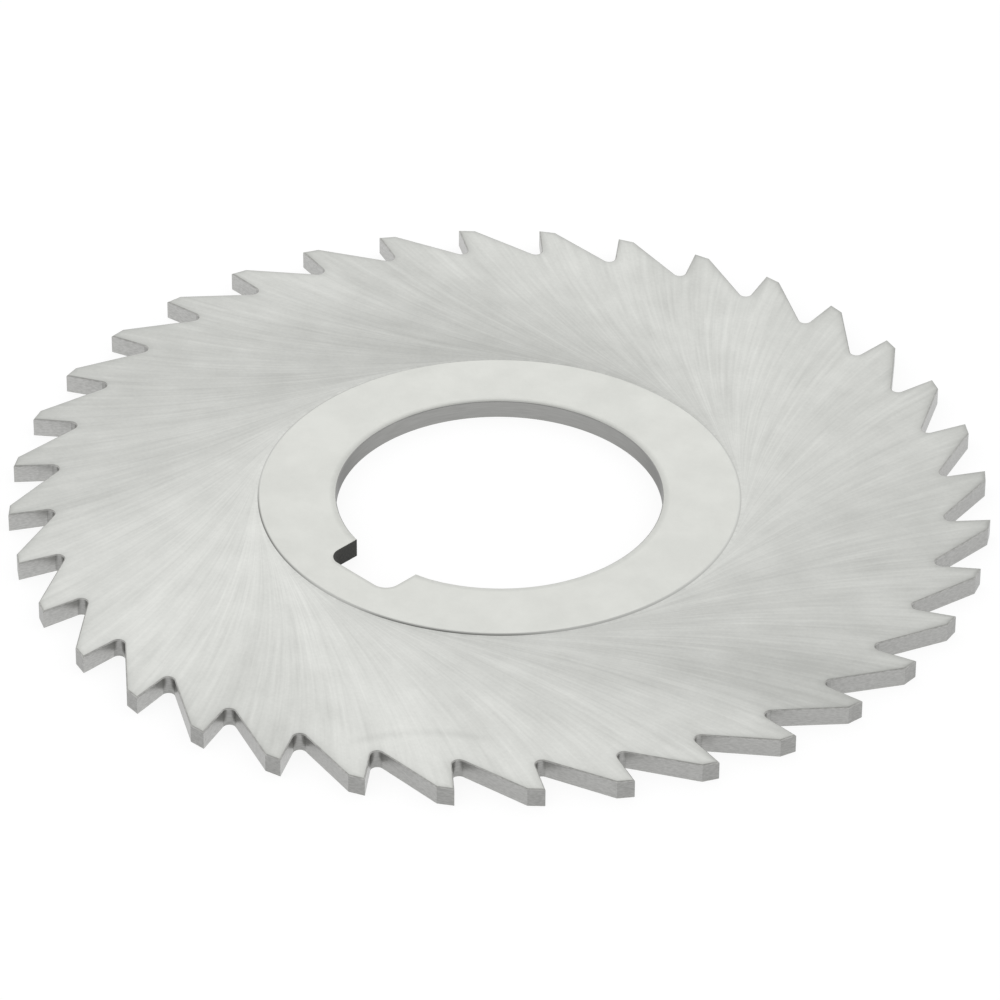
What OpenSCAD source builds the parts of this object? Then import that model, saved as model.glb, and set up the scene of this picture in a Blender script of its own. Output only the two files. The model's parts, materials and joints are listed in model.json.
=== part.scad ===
// Plain metal slitting saw: one thin steel disc with teeth on its rim, dished sides and a keyed bore.
// It lies flat. The bore's axis is Z, the lower hub face is on Z = 0 and the keyway points along -Y.
// Seen from +Z the teeth point counter-clockwise, and one tooth tip stands in line with the keyway.

/* [Blade] */
// Diameter over the tooth tips, 3 in
blade_d = 76.2; // [64:0.1:120]
// Thickness at the hub and at the tooth tips, 1/16 in
blade_t = 1.5875; // [0.8:0.0125:3.2]

/* [Bore and keyway] */
// Diameter of the arbor bore, 1 in
bore_d = 25.4; // [16:0.1:27]
// Width of the keyway, for a 1/4 in key
key_w = 6.48; // [4:0.01:8]
// Depth of the keyway below the bore wall, on the keyway's centreline, 7/64 in
key_depth = 2.78; // [1.8:0.01:3.6]
// Radius in the two corners of the keyway's floor, 3/64 in
key_corner_r = 1.19; // [0.4:0.01:1.6]

/* [Hub and side relief] */
// Diameter of the flat hub face on each side
hub_d = 37.2; // [36:0.1:48]
// Width of the slope that the grinding wheel leaves round the hub's edge
hub_slope_w = 0.2; // [0.05:0.01:0.6]
// Angle at which each side falls away from the tooth tips towards the hub, in degrees
relief_angle = 0.3; // [0.1:0.05:0.6]

/* [Teeth] */
// Number of teeth round the rim
tooth_count = 36; // [28:1:44]
// Forward lean of the tooth face from the radius, in degrees
tooth_rake = 8.5; // [0:0.5:15]
// Length of the flat land behind each tip
land_len = 1.32; // [0.4:0.01:2]
// Fall of the land below the rim's tangent, in degrees
land_angle = 6.5; // [3:0.5:12]
// Fall of the tooth's back below the rim's tangent, in degrees
back_angle = 41; // [30:0.5:46]
// Radius at the bottom of each gullet
gullet_r = 0.51; // [0.2:0.01:0.7]

/* [Hidden] */
$fn = 180;

// How far each cutting shape runs past the metal that it cuts
cut_over = 1.5;
// How far the blank stands past the tooth tips before the teeth are cut
blank_stock = 0.4;
// How far the round at a gullet's root reaches past the tooth's face and back, so that it crosses them
root_bite = 0.001;

tip_r = blade_d / 2;
bore_r = bore_d / 2;
hub_r = hub_d / 2;
blank_r = tip_r + blank_stock;
dish_r = hub_r + hub_slope_w;
key_floor_r = bore_r + key_depth;
key_angle = -90;
pitch_angle = 360 / tooth_count;

// Unit vector in the plane of the blade, at an angle from +X
function heading(a) = [cos(a), sin(a)];

// How far the ground side lies below the hub's plane, at a radius from the axis
function relief_at(r) = (tip_r - r) * tan(relief_angle);

// The gullet between the tooth whose tip is on +X and the next one counter-clockwise:
// the first tooth's face runs in, and the next tooth's land and back run down to meet it.
first_tip = tip_r * heading(0);
next_tip = tip_r * heading(pitch_angle);
face_in = heading(180 + tooth_rake);
land_back = heading(pitch_angle - 90 - land_angle);
heel = next_tip + land_len * land_back;
back_in = heading(pitch_angle - 90 - back_angle);
face_len = cross(heel - first_tip, back_in) / cross(face_in, back_in);
root = first_tip + face_len * face_in;

// The round at the root touches the face and the back at equal distances from their crossing
root_half_angle = (pitch_angle + 90 - back_angle - tooth_rake) / 2;
root_run = gullet_r / tan(root_half_angle);
root_centre = root + gullet_r / sin(root_half_angle) * heading(tooth_rake + root_half_angle);

// Half of the blade's section: the bore wall, the flat hub, the slope at its edge and the dished sides
module half_section() {
    dish_z = relief_at(dish_r);
    rim_z = relief_at(blank_r);
    polygon([
        [bore_r, 0],
        [hub_r, 0],
        [dish_r, dish_z],
        [blank_r, rim_z],
        [blank_r, blade_t - rim_z],
        [dish_r, blade_t - dish_z],
        [hub_r, blade_t],
        [bore_r, blade_t]
    ]);
}

// What the wheel takes out between two teeth, up to the lines of the face, the land and the back.
// It runs past both tips along those lines, so that the cuts on each side of a tooth cross at its tip.
module gullet() {
    past_land = next_tip - cut_over * land_back;
    polygon([
        first_tip - cut_over * face_in,
        root - root_run * face_in,
        root - root_run * back_in,
        heel,
        past_land,
        past_land + cut_over * heading(pitch_angle + tooth_rake)
    ]);
    translate(root_centre) circle(r = gullet_r + root_bite);
}

// The keyway's outline from the axis out along +X, with rounded corners at its floor
module keyway() {
    corner_x = key_floor_r - key_corner_r;
    corner_y = key_w / 2 - key_corner_r;
    translate([0, -key_w / 2]) square([corner_x, key_w]);
    translate([0, -corner_y]) square([key_floor_r, 2 * corner_y]);
    for (side = [-1, 1])
        translate([corner_x, side * corner_y]) circle(r = key_corner_r);
}

// Carries an outline through the blade and past both of its faces
module cut_through() {
    translate([0, 0, -cut_over])
        linear_extrude(height = blade_t + 2 * cut_over)
            children();
}

module saw_blade() {
    color("#d6d8d3")
    difference() {
        rotate([0, 0, pitch_angle / 2]) rotate_extrude() half_section();
        rotate([0, 0, key_angle]) cut_through() keyway();
        for (i = [0 : tooth_count - 1])
            rotate([0, 0, key_angle + i * pitch_angle]) cut_through() gullet();
    }
}

saw_blade();
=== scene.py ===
"""Plain metal slitting saw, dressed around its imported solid: ground steel, lying flat on a white sheet."""

import json
import math

import bpy
import numpy as np
from mathutils import Matrix, Vector


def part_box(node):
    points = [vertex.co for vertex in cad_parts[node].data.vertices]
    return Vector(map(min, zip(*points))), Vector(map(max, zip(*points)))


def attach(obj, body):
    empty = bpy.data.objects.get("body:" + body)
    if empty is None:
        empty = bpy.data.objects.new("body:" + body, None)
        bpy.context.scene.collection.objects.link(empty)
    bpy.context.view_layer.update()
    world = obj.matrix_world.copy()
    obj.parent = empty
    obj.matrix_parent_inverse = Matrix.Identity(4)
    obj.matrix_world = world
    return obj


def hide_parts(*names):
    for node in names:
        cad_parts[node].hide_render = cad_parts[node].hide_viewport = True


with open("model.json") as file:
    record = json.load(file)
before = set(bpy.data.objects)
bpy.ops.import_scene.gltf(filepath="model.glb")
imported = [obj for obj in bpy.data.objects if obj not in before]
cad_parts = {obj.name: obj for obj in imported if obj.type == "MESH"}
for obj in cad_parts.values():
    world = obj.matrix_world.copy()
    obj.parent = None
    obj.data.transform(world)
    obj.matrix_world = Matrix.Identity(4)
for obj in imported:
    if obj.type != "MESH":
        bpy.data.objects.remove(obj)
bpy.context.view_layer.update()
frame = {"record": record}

# Form of the blade
# The saw is one disc of hardened high-speed steel: blanked, bored and keyed, then toothed and ground. Both
# sides are dished between the teeth and the hub, so that only the tips rub in the cut, and the hub is left
# flat for the arbor's collars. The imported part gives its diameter, thickness and bore.
MM = 0.001
blade_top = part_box("saw_blade")[1]
tip_r = blade_top.x
blade_t = blade_top.z
arbor_bore = next(mount for mount in frame["record"]["mounts"] if mount["name"] == "arbor_bore")
bore_r = arbor_bore["dims"]["r_mm"] * MM
key_depth = 2.78 * MM
key_half_w = 3.24 * MM
key_corner_r = 1.19 * MM
key_heading = math.radians(-90)
hub_r = 18.6 * MM
hub_slope_w = 0.2 * MM
relief_angle = math.radians(0.3)
tooth_count = 36
tooth_rake = math.radians(8.5)
land_len = 1.32 * MM
land_angle = math.radians(6.5)
back_angle = math.radians(41)
gullet_r = 0.51 * MM

key_floor_r = bore_r + key_depth
dish_r = hub_r + hub_slope_w
pitch = 2 * math.pi / tooth_count
quarter = math.pi / 2


def heading(angle):
    """A unit step at an angle from +X: in the complex plane of the blade, e to the i angle."""
    return np.exp(1j * np.asarray(angle))


def line(start, end, count):
    """Evenly spaced points from start towards end, which is left to the next stretch of the outline."""
    return start + (end - start) * np.arange(count) / count


def arc(centre, radius, first, last, count):
    """Points at evenly spaced angles round a centre, from first towards last, which is left out."""
    return centre + radius * heading(first + (last - first) * np.arange(count) / count)


def crossing(p, u, q, v):
    """Where the line through p along u meets the line through q along v: p plus u times the cross product of
    q - p and v over the cross product of u and v."""
    return p + u * np.imag(np.conj(q - p) * v) / np.imag(np.conj(u) * v)


# The space between two teeth: the first tooth's face runs in from its tip on +X, and the land and back of the
# next tooth, counter-clockwise, run down to meet it in a round root.
face_steps, root_steps, back_steps, land_steps = 6, 8, 8, 3
first_tip = tip_r * heading(0)
next_tip = tip_r * heading(pitch)
face_way = -heading(tooth_rake)
land_way = heading(pitch + quarter - land_angle)
back_way = heading(pitch + quarter - back_angle)
last_land_way = land_way * heading(-pitch)
heel = next_tip - land_len * land_way
root = crossing(first_tip, face_way, heel, back_way)
root_half_angle = (pitch + quarter - back_angle - tooth_rake) / 2
root_centre = root + gullet_r / math.sin(root_half_angle) * heading(tooth_rake + root_half_angle)
root_first, root_last = tooth_rake - quarter, pitch - back_angle - 2 * quarter
tooth_turns = key_heading + pitch * np.arange(tooth_count)


def teeth(depth):
    """The outline of all the teeth, moved into the metal by depth. Each tooth space goes down one tooth's
    face, round the root, up the next tooth's back and along its land. The three lines move along their
    normals, which are i times their ways, and meet again at the tip and the heel, and the root's radius grows
    by depth."""
    normal = 1j * depth
    tip = crossing(first_tip + normal * face_way, face_way, first_tip + normal * last_land_way, last_land_way)
    corner = crossing(heel + normal * back_way, back_way, heel + normal * land_way, land_way)
    root_r = gullet_r + depth
    space = np.concatenate([
        line(tip, root_centre + root_r * heading(root_first), face_steps),
        arc(root_centre, root_r, root_first, root_last, root_steps),
        line(root_centre + root_r * heading(root_last), corner, back_steps),
        line(corner, tip * heading(pitch), land_steps),
    ])
    return (heading(tooth_turns)[:, None] * space).ravel()


# The bore's outline has as many points as the rim's. It starts in the middle of the keyway's floor, runs
# round the corner, up the keyway's wall, round the bore and back down the other wall.
columns = teeth(0.0).size
floor_steps, corner_steps, wall_steps = 9, 14, 14
keyway_steps = floor_steps + corner_steps + wall_steps
mouth_angle = math.asin(key_half_w / bore_r)
corner_centre = (key_floor_r - key_corner_r) + 1j * (key_half_w - key_corner_r)
wall_top = bore_r * heading(mouth_angle)
wall_foot = corner_centre.real + 1j * key_half_w
floor_end = key_floor_r + 1j * corner_centre.imag
floor_mid = key_floor_r + 0j
keyed_bore = np.concatenate([
    line(floor_mid, floor_end, floor_steps),
    arc(corner_centre, key_corner_r, 0, quarter, corner_steps),
    line(wall_foot, wall_top, wall_steps),
    arc(0, bore_r, mouth_angle, 4 * quarter - mouth_angle, columns - 2 * keyway_steps),
    line(wall_top.conjugate(), wall_foot.conjugate(), wall_steps),
    arc(corner_centre.conjugate(), key_corner_r, -quarter, 0, corner_steps),
    line(floor_end.conjugate(), floor_mid, floor_steps),
]) * heading(key_heading)


def inset(outline, depth):
    """Moves a closed outline to its left by depth: each point goes along the sum of its two edges' left
    normals, stretched by 2 over the sum's square so that both edges move by the same depth."""
    edge = np.roll(outline, -1) - outline
    left = 1j * edge / abs(edge)
    both = left + np.roll(left, 1)
    return outline + depth * 2 * both / abs(both) ** 2


def drop(points):
    """How far the side lies below the hub's plane at each point, by its radius: nothing on the hub, the full
    dish at the foot of the hub's edge, and nothing again at the tooth tips."""
    dish = (tip_r - dish_r) * math.tan(relief_angle)
    return np.interp(abs(points), [hub_r, dish_r, tip_r], [0, dish, 0])


# Deburring has rounded the edges of the teeth, and those of the bore more widely, but hardly the keyway's
edge_margin = 0.02 * MM
rim_edge_w, rim_edge_h = 0.14 * MM, 0.09 * MM
bore_edge_w, bore_edge_h = 0.32 * MM, 0.12 * MM
key_edge = 0.05 * MM
key_fade_steps = 16


def rounded_edge(width, depth):
    """Insets and drops of the rows of a quarter ellipse from a side to a wall: width times 1 - sin of the
    roll and depth times 1 - cos, with a narrow flat margin at each end that keeps the round's shading off
    the flats."""
    rolls = np.radians([0, 0, 18, 36, 54, 72, 90, 90])[:, None]
    insets = width * (1 - np.sin(rolls))
    drops = depth * (1 - np.cos(rolls))
    insets[0] += edge_margin
    drops[-1] += edge_margin
    return insets, drops


steps_from_key = np.minimum(np.arange(columns), columns - np.arange(columns))
key_fade = [keyway_steps, keyway_steps + key_fade_steps]
bore_insets, bore_drops = rounded_edge(
    np.interp(steps_from_key, key_fade, [key_edge, bore_edge_w]),
    np.interp(steps_from_key, key_fade, [key_edge, bore_edge_h]),
)
rim_insets, rim_drops = rounded_edge(rim_edge_w, rim_edge_h)

# The columns are even round the hub, but for a wider fan at the keyway. On a ring below the teeth they
# close up under each tooth face, so that they run up into the teeth without crossing. Angles are in degrees.
keyway_fan = 19
face_foot, root_foot, back_foot, land_foot, next_foot = -4.1, -3.0, 0.4, 5.1, 5.9
ring_gap = 0.8 * MM
hub_angle = key_heading + np.radians(np.interp(
    np.arange(columns),
    [0, keyway_steps, columns - keyway_steps, columns],
    [0, keyway_fan, 360 - keyway_fan, 360],
))
foot_angle = np.radians(np.concatenate([
    line(face_foot, root_foot, face_steps),
    line(root_foot, back_foot, root_steps),
    line(back_foot, land_foot, back_steps),
    line(land_foot, next_foot, land_steps),
]))
ring_angle = (tooth_turns[:, None] + foot_angle).ravel()
ring_r = abs(root) - ring_gap

# The upper side's rows, from the bore to the rim, are the bore's rounded edge, the hub, the dish from the
# foot of the hub's edge to the ring, the teeth, a border along their edge, and the edge itself
dish_row_count = 9
border_insets = np.array([0.6, 0.4, 0.25]) * MM
bore_rows = [inset(keyed_bore, -depth) for depth in bore_insets[::-1]]
border_rows = [teeth(depth) for depth in border_insets]
rim_rows = [teeth(depth) for depth in rim_insets.ravel()]
hub_ring = hub_r * heading(hub_angle)
hub_rows = [bore_rows[-1] + share * (hub_ring - bore_rows[-1]) for share in (1 / 3, 2 / 3, 1)]
dish_share = np.linspace(0, 1, dish_row_count)[:, None]
dish_angle = hub_angle + dish_share * (ring_angle - hub_angle)
dish_rows = (dish_r + dish_share * (ring_r - dish_r)) * heading(dish_angle)
tooth_rows = [dish_rows[-1] + share * (border_rows[0] - dish_rows[-1]) for share in (0.25, 0.5, 0.75)]
upper = np.array([*bore_rows, *hub_rows, *dish_rows, *tooth_rows, *border_rows, *rim_rows])
below = drop(upper)
below[:len(bore_rows)] += bore_drops[::-1]
below[-len(rim_rows):] += rim_drops

# The lower side mirrors the upper one, and the two meet at the bore wall and at the tooth walls
sharp_angle = math.radians(20)
plan = np.concatenate([upper, upper[::-1]])
height = np.concatenate([blade_t - below, below[::-1]])
points = np.stack([plan.real, plan.imag, height], axis=-1).reshape(-1, 3)
here = np.arange(plan.size).reshape(plan.shape)
across = np.roll(here, -1, axis=0)
quads = np.stack([here, across, np.roll(across, -1, axis=1), np.roll(here, -1, axis=1)], axis=-1)
blade_mesh = bpy.data.meshes.new("ground_blade")
blade_mesh.from_pydata(points, [], quads.reshape(-1, 4))
blade_mesh.shade_smooth()
blade_mesh.set_sharp_from_angle(angle=sharp_angle)

# Deburring also greys a border along the tooth edges. It fades inwards as e to the minus distance over a
# quarter of a millimetre and reaches the tips better than the roots. Its lean to one side of the disc is
# painted shade. The mesh carries both as an attribute.
border_fade = 0.25 * MM
root_wear, tip_wear = 0.45, 1.1
painted_shade_heading = math.radians(60)
painted_shade_lean = 0.3
edge_insets = np.concatenate([border_insets, rim_insets.ravel()])[:, None]
edge_rows = upper[-len(edge_insets):]
reach = np.interp(abs(edge_rows), [abs(root), tip_r], [root_wear, tip_wear])
# Painted shade: the border is greyer towards one heading
shade_lean = 1 + painted_shade_lean * np.cos(np.angle(edge_rows) - painted_shade_heading)
wear_and_shade = np.zeros(upper.shape)
wear_and_shade[-len(edge_insets):] = np.exp(-edge_insets / border_fade) * reach * shade_lean
wear_and_shade = np.concatenate([wear_and_shade, wear_and_shade[::-1]]).ravel()
blade_mesh.attributes.new("edge_wear_and_shade", "FLOAT", "POINT").data.foreach_set("value", wear_and_shade.astype(np.float32))
blade = bpy.data.objects.new("ground_blade", blade_mesh)
bpy.context.scene.collection.objects.link(blade)

# Dished sides
# Each side is hollow-ground by the rim of a big cup wheel that just misses the hub, so its scratches are
# flat arcs that leave the hub's edge along it and cross the rim steeply. They spread light across themselves:
# the eye sees broad light and dark fans that turn with the view, over faint streaks, grain and mottling.
side_light = "#ecede9"
side_dark = "#cccdc9"
wear_and_shade_grey = "#aaaba7"
side_dull, side_bright = 0.41, 0.34
wheel_r = 75.0
wheel_pass_r = 19.0
wheel_at = wheel_r + wheel_pass_r

# Sizes of the patterns, in millimetres, with the widths taken at the hub's edge. A scratch is really a few
# hundredths wide, too fine to show, and is drawn several times coarser.
streak_w, streak_length = 1.43, 14
scratch_w, scratch_length = 0.22, 7
grain_size = 0.3
mottle_size = 3.0
streak_turns, scratch_turns = hub_r / MM / streak_w, hub_r / MM / scratch_w
scratch_part, grain_part, line_part = 0.54, 0.45, 0.62
mark_low, mark_high = 0.25, 0.75
noise_low, noise_high = 0.35, 0.65
least_worn = 0.6

# Painted light and shade: the steel is painted lighter towards one heading, and lighter or darker in bands of
# arcs that stand for broad light and dark fans of its reflection. A band has the heading of its foot and its
# half width, in degrees, and what it adds by the hub and by the rim.
painted_light_heading = math.radians(281)
painted_light_share = 0.075
fan_inner_r, fan_outer_r = 21.0, 31.5
painted_fans = (
    (105, 45, -0.11, 0.0),
    (123, 17, 0.0, 0.09),
    (200, 20, 0.0, 0.11),
    (237, 14, 0.0, -0.185),
    (311, 10, 0.0, -0.22),
)

# A round edge that lay on the upper side has scuffed a faint grey arc into it, next to the teeth
scuff_centre = (26.95, -34.5, 0.0)
scuff_r, scuff_half_w = 12.4, 0.75
scuff_heading = math.radians(138)
scuff_end, scuff_full = math.radians(28), math.radians(17)
scuff_share = -0.12


def linear(code):
    """An sRGB hex colour as linear RGBA: c/12.92 if dark, otherwise ((c + 0.055)/1.055) to the power 2.4."""
    c = np.array([int(code[i:i + 2], 16) for i in (1, 3, 5)]) / 255
    return (*np.where(c <= 0.04045, c / 12.92, ((c + 0.055) / 1.055) ** 2.4), 1.0)


def compass(angle):
    """A unit step at an angle from +X, in the plane of the blade: its cosine, its sine and no rise."""
    return (math.cos(angle), math.sin(angle), 0.0)


def new_material(name):
    """A material with an empty node tree, and that tree."""
    made = bpy.data.materials.new(name)
    made.use_nodes = True
    made.node_tree.nodes.clear()
    return made, made.node_tree


def add(tree, kind, settings, inputs):
    """Adds a node. Settings are its own properties. Each input, by name or number, takes a value, another
    node's output, or another node, which stands for its first output in use. A map range's inputs are the
    value, the range that it comes from and the range that it goes to, which is 0 to 1 if it isn't given."""
    made = tree.nodes.new("ShaderNode" + kind)
    for name, value in settings.items():
        setattr(made, name, value)
    for name, value in inputs.items():
        if isinstance(value, bpy.types.Node):
            value = next(output for output in value.outputs if not output.is_unavailable)
        if isinstance(value, bpy.types.NodeSocket):
            tree.links.new(value, made.inputs[name])
        else:
            made.inputs[name].default_value = value
    return made


def in_plane(tree):
    """Nodes for a point's place in metres, its place in the plane of the blade in millimetres, and its
    distance from the axis in millimetres."""
    place = add(tree, "TexCoord", {}, {}).outputs["Object"]
    flat = add(tree, "VectorMath", {"operation": "MULTIPLY"}, {0: place, 1: (1 / MM, 1 / MM, 0)})
    return place, flat, add(tree, "VectorMath", {"operation": "LENGTH"}, {0: flat})


side_steel, tree = new_material("wheel_ground_dished_steel")
place, flat, radius = in_plane(tree)
xyz = add(tree, "SeparateXYZ", {}, {0: place})
angle = add(tree, "Math", {"operation": "ARCTAN2"}, {0: xyz.outputs["Y"], 1: xyz.outputs["X"]})
# In the triangle of the axis, the wheel's centre and a point on its rim, the angle at the axis is the arc's
# lag. A point is then given by the heading of its arc's foot and by its run along the arc.
squares = add(tree, "Math", {"operation": "MULTIPLY_ADD"},
              {0: radius, 1: radius, 2: wheel_at ** 2 - wheel_r ** 2})
twice_sides = add(tree, "Math", {"operation": "MULTIPLY"}, {0: radius, 1: 2 * wheel_at})
lag_cosine = add(tree, "Math", {"operation": "DIVIDE"}, {0: squares, 1: twice_sides})
lag = add(tree, "Math", {"operation": "ARCCOSINE"}, {0: lag_cosine})
lag_sine = add(tree, "Math", {"operation": "SINE"}, {0: lag})
run = add(tree, "Math", {"operation": "MULTIPLY"}, {0: radius, 1: lag_sine})
foot = add(tree, "Math", {"operation": "SUBTRACT"}, {0: angle, 1: lag})
foot_x = add(tree, "Math", {"operation": "COSINE"}, {0: foot})
foot_y = add(tree, "Math", {"operation": "SINE"}, {0: foot})
arc_at = add(tree, "CombineXYZ", {}, {0: foot_x, 1: foot_y, 2: run})
from_wheel = add(tree, "VectorMath", {"operation": "MULTIPLY_ADD"},
                 {0: arc_at, 1: (-wheel_at, -wheel_at, 0), 2: flat})
across_arc = add(tree, "VectorMath", {"operation": "NORMALIZE"}, {0: from_wheel})
layers = []
for source, stretch in (
    (arc_at, (streak_turns, streak_turns, 1 / streak_length)),
    (arc_at, (scratch_turns, scratch_turns, 1 / scratch_length)),
    (flat, (1 / grain_size, 1 / grain_size, 0)),
    (flat, (1 / mottle_size, 1 / mottle_size, 0)),
):
    scaled = add(tree, "VectorMath", {"operation": "MULTIPLY"}, {0: source, 1: stretch})
    layers.append(add(tree, "TexNoise", {},
                      {"Vector": scaled, "Scale": 1.0, "Detail": 2.0, "Roughness": 0.55}))
streak, scratch, grain, mottle = layers
lines = add(tree, "Mix", {"data_type": "FLOAT"}, {"Factor": scratch_part, "A": streak, "B": scratch})
cloud = add(tree, "Mix", {"data_type": "FLOAT"}, {"Factor": grain_part, "A": mottle, "B": grain})
marks = add(tree, "Mix", {"data_type": "FLOAT"}, {"Factor": line_part, "A": cloud, "B": lines})
outward = add(tree, "VectorMath", {"operation": "NORMALIZE"}, {0: flat})
# Painted light and shade: lighter towards one heading, then lighter or darker in fans of arcs
painted_light_side = add(tree, "VectorMath", {"operation": "DOT_PRODUCT"}, {0: outward, 1: compass(painted_light_heading)})
marks_and_painted_light = add(tree, "Math", {"operation": "MULTIPLY_ADD"}, {0: painted_light_side, 1: painted_light_share, 2: marks})
for fan_heading, half_width, inner_share, outer_share in painted_fans:
    towards = add(tree, "VectorMath", {"operation": "DOT_PRODUCT"},
                  {0: arc_at, 1: compass(math.radians(fan_heading))})
    in_fan = add(tree, "MapRange", {"interpolation_type": "SMOOTHSTEP"},
                  {0: towards, 1: math.cos(math.radians(half_width)), 2: 1.0})
    share = add(tree, "MapRange", {},
                {0: radius, 1: fan_inner_r, 2: fan_outer_r, 3: inner_share, 4: outer_share})
    marks_and_painted_light = add(tree, "Math", {"operation": "MULTIPLY_ADD"}, {0: in_fan, 1: share, 2: marks_and_painted_light})
from_scuff = add(tree, "VectorMath", {"operation": "SUBTRACT"}, {0: flat, 1: scuff_centre})
scuff_reach = add(tree, "VectorMath", {"operation": "LENGTH"}, {0: from_scuff})
off_scuff = add(tree, "Math", {"operation": "SUBTRACT"}, {0: scuff_reach, 1: scuff_r})
off_by = add(tree, "Math", {"operation": "ABSOLUTE"}, {0: off_scuff})
in_scuff = add(tree, "MapRange", {"interpolation_type": "SMOOTHSTEP"},
               {0: off_by, 1: 0.0, 2: scuff_half_w, 3: scuff_share, 4: 0.0})
scuff_way = add(tree, "VectorMath", {"operation": "NORMALIZE"}, {0: from_scuff})
towards = add(tree, "VectorMath", {"operation": "DOT_PRODUCT"}, {0: scuff_way, 1: compass(scuff_heading)})
in_stretch = add(tree, "MapRange", {"interpolation_type": "SMOOTHSTEP"},
                 {0: towards, 1: math.cos(scuff_end), 2: math.cos(scuff_full)})
on_upper = add(tree, "Math", {"operation": "GREATER_THAN"}, {0: xyz.outputs["Z"], 1: blade_t / 2})
scuffed = add(tree, "Math", {"operation": "MULTIPLY"}, {0: in_stretch, 1: on_upper})
marks_and_painted_light = add(tree, "Math", {"operation": "MULTIPLY_ADD"}, {0: in_scuff, 1: scuffed, 2: marks_and_painted_light})
spread = add(tree, "MapRange", {}, {0: marks_and_painted_light, 1: mark_low, 2: mark_high})
side_colour = add(tree, "Mix", {"data_type": "RGBA"},
                  {"Factor": spread, "A": linear(side_dark), "B": linear(side_light)})
border = add(tree, "Attribute", {"attribute_name": "edge_wear_and_shade"}, {})
patchy = add(tree, "MapRange", {}, {0: mottle, 1: noise_low, 2: noise_high, 3: least_worn, 4: 1.0})
# The border's grey is wear, with a painted-shade lean to one side of the disc
worn_and_shaded = add(tree, "Math", {"operation": "MULTIPLY"}, {0: border.outputs["Fac"], 1: patchy})
worn_and_shaded_colour = add(tree, "Mix", {"data_type": "RGBA"},
                  {"Factor": worn_and_shaded, "A": side_colour, "B": linear(wear_and_shade_grey)})
side_rough = add(tree, "MapRange", {}, {0: marks, 1: noise_low, 2: noise_high, 3: side_dull, 4: side_bright})
side_bump = add(tree, "Bump", {}, {"Strength": 0.15, "Distance": 0.01 * MM, "Height": lines})
side_shader = add(tree, "BsdfPrincipled", {}, {
    "Base Color": worn_and_shaded_colour,
    "Metallic": 1.0,
    "Roughness": side_rough,
    "Anisotropic": 0.75,
    "Tangent": across_arc,
    "Normal": side_bump,
})
add(tree, "OutputMaterial", {}, {"Surface": side_shader})

# Hub faces
# The hub is steel, surface-ground flat with a fine wheel after the dish. To the eye it is the palest part of
# the blade, with no direction, only a faint cloudiness over grit marks that are drawn coarser than they are,
# and a greyer border where the arbor and its key have rubbed along the bore and the keyway.
hub_light = "#e9eae5"
hub_dark = "#e3e4df"
hub_bright, hub_dull = 0.36, 0.44
cloud_size = 3.5
grit_size = 0.25
grit_low, grit_high = 0.3, 0.7
bore_rub_w, key_rub_w = 0.6, 0.35
rubbed_part = 0.45

# The keyway is a rounded box, so the distance to it is the length of what sticks out of its core, less the
# corner. Its border fades out along the wall on the -X side. Sizes are in millimetres.
bore_wall = bore_r / MM
key_corner = key_corner_r / MM
key_middle = key_floor_r / MM / 2
key_core = (key_half_w / MM - key_corner, key_middle - key_corner, 0)
unrubbed_x, rubbed_x = -3.4, -2.0

hub_steel, tree = new_material("surface_ground_hub_steel")
place, flat, radius = in_plane(tree)
xyz = add(tree, "SeparateXYZ", {}, {0: flat})
from_middle = add(tree, "VectorMath", {"operation": "ADD"}, {0: flat, 1: (0, key_middle, 0)})
one_quarter = add(tree, "VectorMath", {"operation": "ABSOLUTE"}, {0: from_middle})
past_core = add(tree, "VectorMath", {"operation": "SUBTRACT"}, {0: one_quarter, 1: key_core})
sticks_out = add(tree, "VectorMath", {"operation": "MAXIMUM"}, {0: past_core, 1: (0, 0, 0)})
from_core = add(tree, "VectorMath", {"operation": "LENGTH"}, {0: sticks_out})
by_bore = add(tree, "MapRange", {},
              {0: radius, 1: bore_wall, 2: bore_wall + bore_rub_w, 3: rubbed_part, 4: 0.0})
by_key = add(tree, "MapRange", {},
             {0: from_core, 1: key_corner, 2: key_corner + key_rub_w, 3: rubbed_part, 4: 0.0})
off_scale = add(tree, "MapRange", {}, {0: xyz.outputs["X"], 1: unrubbed_x, 2: rubbed_x})
by_bare_key = add(tree, "Math", {"operation": "MULTIPLY"}, {0: by_key, 1: off_scale})
rubbed = add(tree, "Math", {"operation": "MAXIMUM"}, {0: by_bore, 1: by_bare_key})
clouds = add(tree, "TexNoise", {}, {"Vector": place, "Scale": 1 / (cloud_size * MM), "Detail": 3.0})
grit = add(tree, "TexNoise", {}, {"Vector": place, "Scale": 1 / (grit_size * MM), "Detail": 2.0})
cloud_spread = add(tree, "MapRange", {}, {0: clouds, 1: noise_low, 2: noise_high})
hub_colour = add(tree, "Mix", {"data_type": "RGBA"},
                 {"Factor": cloud_spread, "A": linear(hub_dark), "B": linear(hub_light)})
rubbed_colour = add(tree, "Mix", {"data_type": "RGBA"},
                    {"Factor": rubbed, "A": hub_colour, "B": linear(wear_and_shade_grey)})
hub_rough = add(tree, "MapRange", {}, {0: grit, 1: grit_low, 2: grit_high, 3: hub_bright, 4: hub_dull})
hub_bump = add(tree, "Bump", {}, {"Strength": 0.1, "Distance": 0.004 * MM, "Height": grit})
hub_shader = add(tree, "BsdfPrincipled", {}, {
    "Base Color": rubbed_colour,
    "Metallic": 1.0,
    "Roughness": hub_rough,
    "Normal": hub_bump,
})
add(tree, "OutputMaterial", {}, {"Surface": hub_shader})

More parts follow.
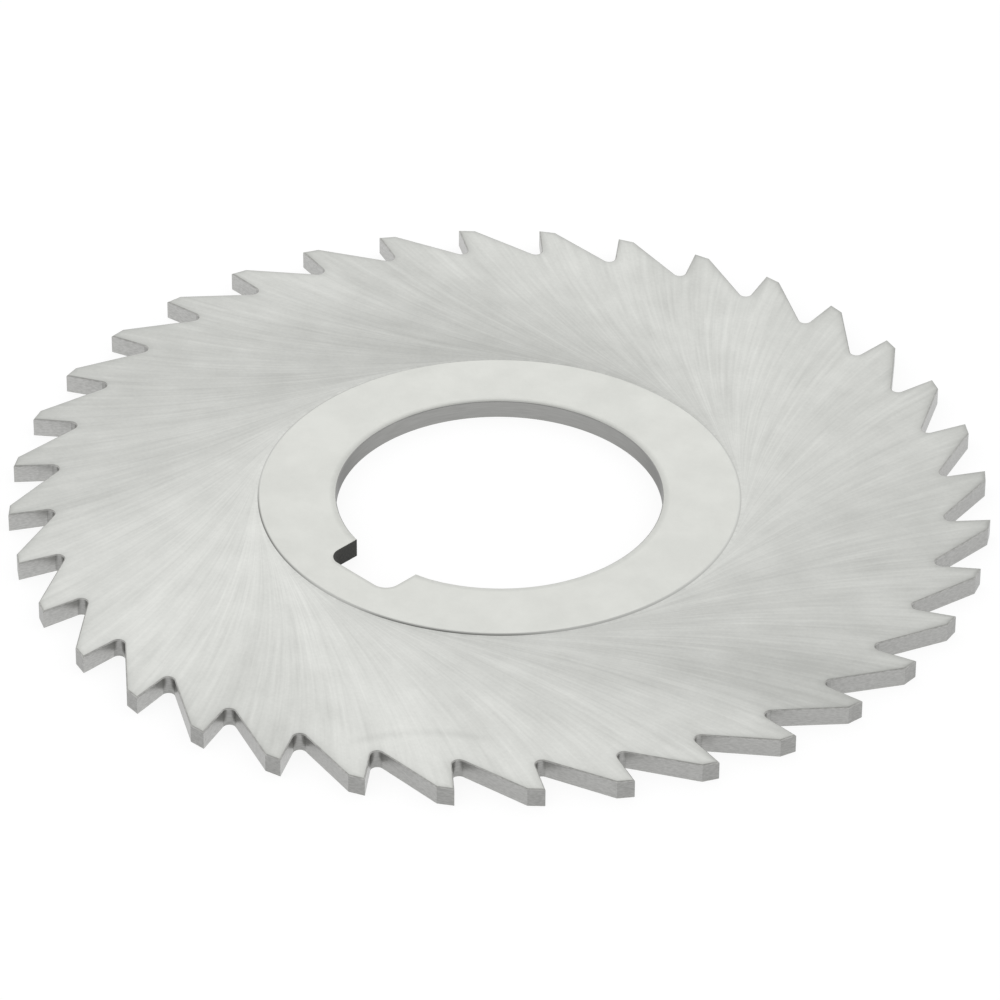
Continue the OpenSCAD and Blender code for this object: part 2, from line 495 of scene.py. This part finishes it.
# Edge of the hub
# The wheel's rounded corner leaves a narrow slope of steel where the dish starts. Along it runs a thin grey
# line of painted shade all round the hub, which darkens in two stretches, one on each side of the keyway,
# and fades out of both unevenly.
slope_grey = "#dcddd9"
hub_edge_shade_grey = "#4c4c48"
shade_line_out = 0.16
shade_line_r = hub_r / MM + shade_line_out
shade_line_half_w = 0.13
shade_break_size = 7.5
least_shade = 0.7
shade_line_thin, shade_line_thick = 0.26, 0.9

# Headings of the two dark stretches, in degrees, and the cosines from them at which they end and are full
shade_line_headings = (245, 303)
stretch_end, stretch_full = 0.9, 0.99

slope_steel, tree = new_material("slope_steel_with_painted_shade_line")
_, flat, radius = in_plane(tree)
outward = add(tree, "VectorMath", {"operation": "NORMALIZE"}, {0: flat})
off_line = add(tree, "Math", {"operation": "SUBTRACT"}, {0: radius, 1: shade_line_r})
off_by = add(tree, "Math", {"operation": "ABSOLUTE"}, {0: off_line})
in_line = add(tree, "MapRange", {}, {0: off_by, 1: 0.0, 2: shade_line_half_w, 3: 1.0, 4: 0.0})
stretches = []
for shade_line_heading in shade_line_headings:
    towards = add(tree, "VectorMath", {"operation": "DOT_PRODUCT"},
                  {0: outward, 1: compass(math.radians(shade_line_heading))})
    stretches.append(add(tree, "MapRange", {"interpolation_type": "SMOOTHSTEP"},
                         {0: towards, 1: stretch_end, 2: stretch_full}))
in_stretch = add(tree, "Math", {"operation": "MAXIMUM"}, {0: stretches[0], 1: stretches[1]})
shade_breaks = add(tree, "TexNoise", {}, {"Vector": outward, "Scale": shade_line_r / shade_break_size, "Detail": 1.0})
shade_break_spread = add(tree, "MapRange", {}, {0: shade_breaks, 1: noise_low, 2: noise_high, 3: least_shade, 4: 1.0})
broken_shade = add(tree, "Math", {"operation": "MULTIPLY"}, {0: in_stretch, 1: shade_break_spread})
amount = add(tree, "MapRange", {}, {0: broken_shade, 1: 0.0, 2: 1.0, 3: shade_line_thin, 4: shade_line_thick})
# Painted shade: a dark line along the slope at the foot of the hub
painted_shade_line = add(tree, "Math", {"operation": "MULTIPLY"}, {0: in_line, 1: amount})
slope_colour = add(tree, "Mix", {"data_type": "RGBA"},
                   {"Factor": painted_shade_line, "A": linear(slope_grey), "B": linear(hub_edge_shade_grey)})
slope_shader = add(tree, "BsdfPrincipled", {}, {
    "Base Color": slope_colour,
    "Metallic": 1.0,
    "Roughness": 0.4,
})
add(tree, "OutputMaterial", {}, {"Surface": slope_shader})

# Tooth walls
# The teeth's faces, roots, backs and lands are ground through the blade by a formed wheel, and deburring has
# broken their edges. They are smoother than the sides, with fine marks along the walls that are drawn coarser
# than they are, and they mirror each other in the roots. Their grey, and that of the deburred edges, is
# painted shade: darker than the sides, darkest in the roots and on the lands, lightest on the faces.
wall_mark_size = 0.1
wall_mark_stretch = (0.3, 0.3, 1)

wall_steels = []
# Painted shade: each wall's colours are darker copies of the sides' steel
for name, wall_light, wall_dark, wall_rough in (
    ("form_ground_face_steel_painted_shade", "#bebebc", "#aeaeac", 0.32),
    ("form_ground_root_steel_painted_shade", "#a8a8a6", "#989896", 0.32),
    ("form_ground_back_steel_painted_shade", "#b4b4b2", "#a6a6a4", 0.32),
    ("relief_ground_land_steel_painted_shade", "#a7a7a5", "#979795", 0.32),
    ("deburred_edge_steel_painted_shade", "#bcbcb9", "#a8a8a5", 0.45),
):
    wall_steel, tree = new_material(name)
    coord = add(tree, "TexCoord", {}, {})
    along_wall = add(tree, "VectorMath", {"operation": "MULTIPLY"},
                     {0: coord.outputs["Object"], 1: wall_mark_stretch})
    wall_marks = add(tree, "TexNoise", {},
                     {"Vector": along_wall, "Scale": 1 / (wall_mark_size * MM), "Detail": 2.0})
    wall_spread = add(tree, "MapRange", {}, {0: wall_marks, 1: noise_low, 2: noise_high})
    wall_colour = add(tree, "Mix", {"data_type": "RGBA"},
                      {"Factor": wall_spread, "A": linear(wall_dark), "B": linear(wall_light)})
    wall_bump = add(tree, "Bump", {}, {"Strength": 0.05, "Distance": 0.005 * MM, "Height": wall_marks})
    wall_shader = add(tree, "BsdfPrincipled", {}, {
        "Base Color": wall_colour,
        "Metallic": 1.0,
        "Roughness": wall_rough,
        "Normal": wall_bump,
    })
    add(tree, "OutputMaterial", {}, {"Surface": wall_shader})
    wall_steels.append(wall_steel)

# Bore wall
# The bore is ground to size for the arbor by a small spinning wheel, which leaves fine rings round the steel
# wall, drawn coarser than they are. It is a smooth band whose grey is painted shade, darker than the sides.
# Painted shade: the bore's greys are darker copies of the sides' steel
bore_light = "#a1a19f"
bore_dark = "#999997"
bore_sheen = "#c4c4c4"
ring_size = 0.09
ring_stretch = (0.05, 0.05, 1)

bore_steel, tree = new_material("internally_ground_bore_steel_painted_shade")
coord = add(tree, "TexCoord", {}, {})
round_bore = add(tree, "VectorMath", {"operation": "MULTIPLY"}, {0: coord.outputs["Object"], 1: ring_stretch})
rings = add(tree, "TexNoise", {}, {"Vector": round_bore, "Scale": 1 / (ring_size * MM), "Detail": 2.0})
ring_spread = add(tree, "MapRange", {}, {0: rings, 1: noise_low, 2: noise_high})
bore_colour = add(tree, "Mix", {"data_type": "RGBA"},
                  {"Factor": ring_spread, "A": linear(bore_dark), "B": linear(bore_light)})
bore_bump = add(tree, "Bump", {}, {"Strength": 0.2, "Distance": 0.005 * MM, "Height": rings})
bore_shader = add(tree, "BsdfPrincipled", {}, {
    "Base Color": bore_colour,
    "Metallic": 1.0,
    "Roughness": 0.28,
    "Specular Tint": linear(bore_sheen),
    "Normal": bore_bump,
})
add(tree, "OutputMaterial", {}, {"Surface": bore_shader})

# Keyway walls
# The keyway is broached before the blade is hardened and never ground, so its walls keep the black scale of
# the furnace. To the eye they are dull, slightly rough and almost without reflections.
scale_black = "#252523"
scale_grey = "#353531"
scale_grain = 0.2

scale, tree = new_material("black_hardening_scale")
coord = add(tree, "TexCoord", {}, {})
grain = add(tree, "TexNoise", {},
            {"Vector": coord.outputs["Object"], "Scale": 1 / (scale_grain * MM), "Detail": 4.0})
grain_spread = add(tree, "MapRange", {}, {0: grain, 1: noise_low, 2: noise_high})
scale_colour = add(tree, "Mix", {"data_type": "RGBA"},
                   {"Factor": grain_spread, "A": linear(scale_black), "B": linear(scale_grey)})
scale_bump = add(tree, "Bump", {}, {"Strength": 0.4, "Distance": 0.02 * MM, "Height": grain})
scale_shader = add(tree, "BsdfPrincipled", {}, {
    "Base Color": scale_colour,
    "Metallic": 0.0,
    "Roughness": 0.6,
    "Normal": scale_bump,
})
add(tree, "OutputMaterial", {}, {"Surface": scale_shader})

# Finishes of the blade
# Each ring of faces takes the finish of the steel surface that it belongs to, with the painted shade of the
# tooth walls and the bore. The rings of the tooth walls take theirs tooth by tooth, and the keyway's stretch
# of the bore takes the scale.
finishes = [side_steel, hub_steel, slope_steel, *wall_steels, bore_steel, scale]
for finish in finishes:
    blade_mesh.materials.append(finish)
SIDE, HUB, SLOPE, FACE, ROOT, BACK, LAND, EDGE, BORE, SCALE = range(len(finishes))
# Of the bands of a rounded edge, three at the bore keep the wall's finish and four at the teeth are deburred
bore_bands, edge_bands = 3, 4
upper_bands = (
    [BORE] * bore_bands
    + [HUB] * (len(bore_rows) - 1 - bore_bands + len(hub_rows))
    + [SLOPE]
    + [SIDE] * (len(dish_rows) + len(tooth_rows) + len(border_rows) + len(rim_rows) - 2 - edge_bands)
    + [EDGE] * edge_bands
    + [BACK]
)
bands = np.array(upper_bands + [BACK] + upper_bands[::-1] + [BORE])
face_finish = np.repeat(bands[:, None], columns, axis=1)
tooth_finish = [FACE] * face_steps + [ROOT] * root_steps + [BACK] * back_steps + [LAND] * land_steps
face_finish[bands == BACK] = tooth_finish * tooth_count
in_keyway = np.minimum(np.arange(columns), columns - 1 - np.arange(columns)) < keyway_steps
face_finish[(face_finish == BORE) & in_keyway] = SCALE
blade_mesh.polygons.foreach_set("material_index", face_finish.ravel().astype(np.int32))
blade_mesh.update()
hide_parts("saw_blade")
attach(blade, "root")

# Sheet and light
# The blade lies on a wide white sheet inside a pale tent, which is white near the horizon and dimmer
# overhead. The sheet is white to the eye and in the steel, and only part of that white is shadowed by the
# blade.
sheet_half = 3.0
sheet_gap = 0.01 * MM
sheet_glow = 0.86
sheet_colour = "#787878"
tent_white = "#ffffff"
tent_overhead = 0.6
# Sines of the heights above the horizon between which the tent dims
dimming_from, dimming_to = 0.55, 0.95

sheet_mesh = bpy.data.meshes.new("white_sheet")
sheet_corners = sheet_half * np.array([(-1, -1), (1, -1), (1, 1), (-1, 1)])
sheet_mesh.from_pydata([(x, y, -sheet_gap) for x, y in sheet_corners], [], [(0, 1, 2, 3)])
sheet = bpy.data.objects.new("white_sheet", sheet_mesh)
bpy.context.scene.collection.objects.link(sheet)
sheet_white, tree = new_material("matt_white_sheet")
path = add(tree, "LightPath", {}, {})
seen = add(tree, "Math", {"operation": "MAXIMUM"},
           {0: path.outputs["Is Camera Ray"], 1: path.outputs["Is Glossy Ray"]})
seen_or_through = add(tree, "Math", {"operation": "MAXIMUM"},
                      {0: seen, 1: path.outputs["Is Transmission Ray"]})
glow_level = add(tree, "Math", {"operation": "MULTIPLY"}, {0: seen_or_through, 1: sheet_glow})
glow = add(tree, "Emission", {}, {"Strength": glow_level})
matt = add(tree, "BsdfDiffuse", {}, {"Color": linear(sheet_colour)})
sheet_sum = add(tree, "AddShader", {}, {0: glow, 1: matt})
add(tree, "OutputMaterial", {}, {"Surface": sheet_sum})
sheet_mesh.materials.append(sheet_white)

tent = bpy.data.worlds.new("pale_tent")
tent.use_nodes = True
tree = tent.node_tree
tree.nodes.clear()
coord = add(tree, "TexCoord", {}, {})
ray = add(tree, "SeparateXYZ", {}, {0: coord.outputs["Generated"]})
tent_level = add(tree, "MapRange", {"interpolation_type": "SMOOTHSTEP"},
                 {0: ray.outputs["Z"], 1: dimming_from, 2: dimming_to, 3: 1.0, 4: tent_overhead})
tent_light = add(tree, "Background", {}, {"Color": linear(tent_white), "Strength": tent_level})
add(tree, "OutputWorld", {}, {"Surface": tent_light})
bpy.context.scene.world = tent
bpy.context.scene.view_settings.view_transform = "Standard"

# Camera
# The camera is a long lens half a metre away. It looks down at the blade from the right of the keyway and is
# turned a little, as in the photograph.
view_azimuth = math.radians(44.704)
view_elevation = math.radians(34.889)
view_distance = 498.8 * MM
view_lens = 230.65
view_roll = math.radians(0.435)
aim = Vector((0.029, 0.029, 0.873)) * MM

away = Vector((
    math.sin(view_azimuth) * math.cos(view_elevation),
    -math.cos(view_azimuth) * math.cos(view_elevation),
    math.sin(view_elevation),
))
camera_data = bpy.data.cameras.new("camera")
camera_data.lens = view_lens
camera = bpy.data.objects.new("camera", camera_data)
bpy.context.scene.collection.objects.link(camera)
camera_place = view_distance * away
look = (aim - camera_place).to_track_quat("-Z", "Y").to_matrix().to_4x4()
camera.matrix_world = Matrix.Translation(camera_place) @ look @ Matrix.Rotation(view_roll, 4, "Z")
bpy.context.scene.camera = camera
